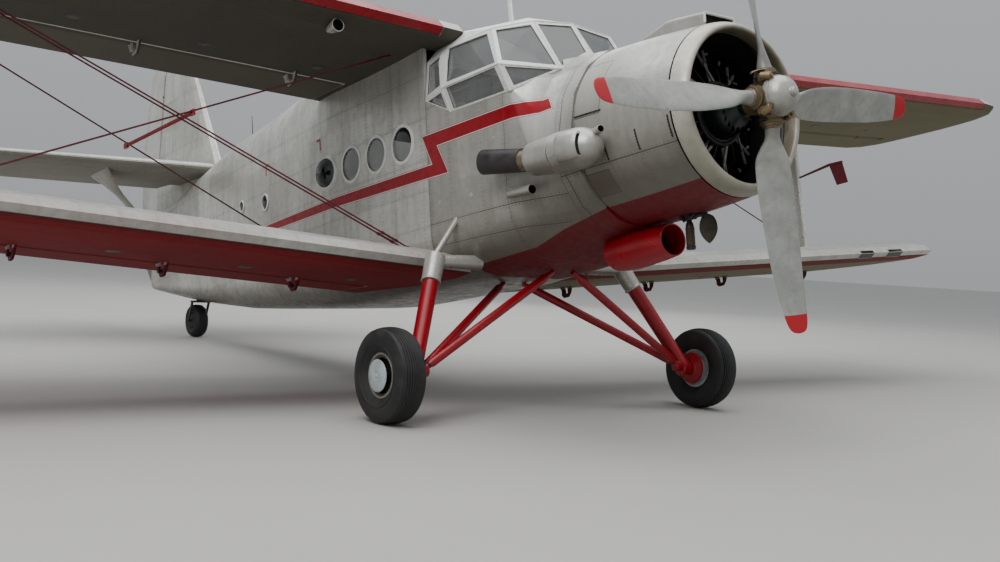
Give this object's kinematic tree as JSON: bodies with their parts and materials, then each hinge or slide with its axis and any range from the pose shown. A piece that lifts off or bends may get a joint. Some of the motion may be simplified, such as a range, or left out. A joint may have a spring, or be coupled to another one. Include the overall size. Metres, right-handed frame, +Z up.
{
  "type": "single-engine utility biplane with tail wheel",
  "caption": "Large cabin biplane on fixed tail-wheel gear, with an open radial engine, slatted upper wing, flaps, bulged cockpit glazing and side doors.",
  "frame": {"origin": "on the ground, under the middle of the bounding box", "axes": "+X forward (towards the propeller), +Y to port, +Z up; the aircraft stands nose-up on its three wheels"},
  "size_m": [13.1048, 18.1658, 4.4925],
  "materials": {
    "aluminium_skin": "satin",
    "red_paint": "satin",
    "red_skin": "satin",
    "engine_black": "satin",
    "bare_metal": "satin",
    "blade_paint": "satin",
    "hub_metal": "satin",
    "glazing": null,
    "cloth_and_panels": "matte",
    "tyre_rubber": "matte",
    "wheel_paint": "satin",
    "black_steel": "satin"
  },
  "bodies": {
    "airframe": {"fuselage_nose": "aluminium_skin", "fuselage_cabin": "aluminium_skin", "fuselage_tail": "aluminium_skin", "canopy_frame": "aluminium_skin", "cowl_ring": "aluminium_skin", "cowl_panels": "aluminium_skin", "intake_scoop": "aluminium_skin", "fin": "aluminium_skin", "cockpit_interior": "cloth_and_panels", "canopy_glazing": "glazing", "engine": "engine_black", "oil_cooler_duct": "red_skin", "exhaust_pipe": "bare_metal", "tail_strut": "black_steel", "upper_wing_port": "aluminium_skin", "lower_wing_port": "aluminium_skin", "wing_strut_port": "aluminium_skin", "stabiliser_port": "aluminium_skin", "stabiliser_strut_port": "aluminium_skin", "flying_wires_port": "red_paint", "landing_wires_port": "red_paint", "gear_leg_port": "red_paint", "gear_braces_port": "red_paint", "upper_wing_starboard": "aluminium_skin", "lower_wing_starboard": "aluminium_skin", "wing_strut_starboard": "aluminium_skin", "stabiliser_starboard": "aluminium_skin", "stabiliser_strut_starboard": "aluminium_skin", "flying_wires_starboard": "red_paint", "landing_wires_starboard": "red_paint", "gear_leg_starboard": "red_paint", "gear_braces_starboard": "red_paint"},
    "propeller": {"propeller_hub": "hub_metal", "propeller_blade_1": "blade_paint", "propeller_blade_2": "blade_paint", "propeller_blade_3": "blade_paint", "propeller_blade_4": "blade_paint"},
    "tail_fork": {"tail_fork": "black_steel"},
    "tail_wheel": {"tail_wheel": "tyre_rubber"},
    "rudder": {"rudder": "aluminium_skin"},
    "cargo_door": {"cargo_door": "aluminium_skin"},
    "passenger_door": {"passenger_door": "aluminium_skin"},
    "wheel_port": {"main_tyre_port": "tyre_rubber", "main_rim_port": "wheel_paint"},
    "upper_flap_port": {"upper_flap_port": "aluminium_skin"},
    "aileron_port": {"aileron_port": "aluminium_skin"},
    "lower_flap_port": {"lower_flap_port": "aluminium_skin"},
    "slat_port": {"slat_port": "red_skin"},
    "elevator_port": {"elevator_port": "aluminium_skin"},
    "wheel_starboard": {"main_tyre_starboard": "tyre_rubber", "main_rim_starboard": "wheel_paint"},
    "upper_flap_starboard": {"upper_flap_starboard": "aluminium_skin"},
    "aileron_starboard": {"aileron_starboard": "aluminium_skin"},
    "lower_flap_starboard": {"lower_flap_starboard": "aluminium_skin"},
    "slat_starboard": {"slat_starboard": "red_skin"},
    "elevator_starboard": {"elevator_starboard": "aluminium_skin"}
  },
  "joints": [
    {"name": "propeller_spin", "type": "hinge", "parent": "airframe", "child": "propeller", "pos_m": [6.23719, 0, 2.7264], "axis": [0.9856, 0, 0.1692], "continuous": true},
    {"name": "wheel_spin_port", "type": "hinge", "parent": "airframe", "child": "wheel_port", "pos_m": [3.98847, 1.845, 0.39941], "axis": [0, 1, 0], "continuous": true},
    {"name": "wheel_spin_starboard", "type": "hinge", "parent": "airframe", "child": "wheel_starboard", "pos_m": [3.98847, -1.845, 0.39941], "axis": [0, 1, 0], "continuous": true},
    {"name": "tail_fork_swivel", "type": "hinge", "parent": "airframe", "child": "tail_fork", "pos_m": [-4.08184, 0, 0.5111], "axis": [0, 0, 1], "continuous": true},
    {"name": "tail_wheel_spin", "type": "hinge", "parent": "tail_fork", "child": "tail_wheel", "pos_m": [-4.19183, 0, 0.23609], "axis": [0, 1, 0], "continuous": true},
    {"name": "rudder_turn", "type": "hinge", "parent": "airframe", "child": "rudder", "pos_m": [-5.71753, 0, 2.62237], "axis": [0.0013, 0, 1], "range_deg": [-28, 28]},
    {"name": "elevator_turn_port", "type": "hinge", "parent": "airframe", "child": "elevator_port", "pos_m": [-4.81322, 1.9, 2.26014], "axis": [0, 1, 0], "range_deg": [-22.5, 42]},
    {"name": "elevator_turn_starboard", "type": "hinge", "parent": "airframe", "child": "elevator_starboard", "pos_m": [-4.81322, -1.9, 2.26014], "axis": [0, 1, 0], "range_deg": [-22.5, 42]},
    {"name": "aileron_turn_port", "type": "hinge", "parent": "airframe", "child": "aileron_port", "pos_m": [1.21479, 6.79367, 3.47101], "axis": [-0.0085, 0.9987, 0.0494], "range_deg": [-14, 30]},
    {"name": "aileron_turn_starboard", "type": "hinge", "parent": "airframe", "child": "aileron_starboard", "pos_m": [1.21479, -6.79367, 3.47101], "axis": [0.0085, 0.9987, -0.0494], "range_deg": [-14, 30]},
    {"name": "upper_flap_turn_port", "type": "hinge", "parent": "airframe", "child": "upper_flap_port", "pos_m": [1.30404, 3.10616, 3.13946], "axis": [0.0085, -0.9987, -0.0494], "range_deg": [0, 40]},
    {"name": "upper_flap_turn_starboard", "type": "hinge", "parent": "airframe", "child": "upper_flap_starboard", "pos_m": [1.30404, -3.10616, 3.13946], "axis": [-0.0085, -0.9987, 0.0494], "range_deg": [0, 40]},
    {"name": "lower_flap_turn_port", "type": "hinge", "parent": "airframe", "child": "lower_flap_port", "pos_m": [1.93904, 3.69919, 1.17905], "axis": [0.0127, -0.9972, -0.0741], "range_deg": [0, 40]},
    {"name": "lower_flap_turn_starboard", "type": "hinge", "parent": "airframe", "child": "lower_flap_starboard", "pos_m": [1.93904, -3.69919, 1.17905], "axis": [-0.0127, -0.9972, 0.0741], "range_deg": [0, 40]},
    {"name": "slat_slide_port", "type": "slide", "parent": "airframe", "child": "slat_port", "axis": [0.9759, -0.0025, 0.2182], "range_m": [0, 0.08]},
    {"name": "slat_slide_starboard", "type": "slide", "parent": "airframe", "child": "slat_starboard", "axis": [0.9759, 0.0025, 0.2182], "range_m": [0, 0.08]},
    {"name": "cargo_door_lift", "type": "hinge", "parent": "airframe", "child": "cargo_door", "pos_m": [0.17163, 0.7811, 2.41979], "axis": [0.9827, 0.0758, 0.1687], "range_deg": [0, 80]},
    {"name": "passenger_door_turn", "type": "hinge", "parent": "cargo_door", "child": "passenger_door", "pos_m": [0.44787, 0.716, 1.73262], "axis": [-0.1692, 0, 0.9856], "range_deg": [0, 90]}
  ],
  "couplings": [
    {"joint": "elevator_turn_starboard", "follows": "elevator_turn_port", "ratio": 1},
    {"joint": "upper_flap_turn_starboard", "follows": "upper_flap_turn_port", "ratio": 1},
    {"joint": "lower_flap_turn_port", "follows": "upper_flap_turn_port", "ratio": 1},
    {"joint": "lower_flap_turn_starboard", "follows": "upper_flap_turn_port", "ratio": 1}
  ]
}
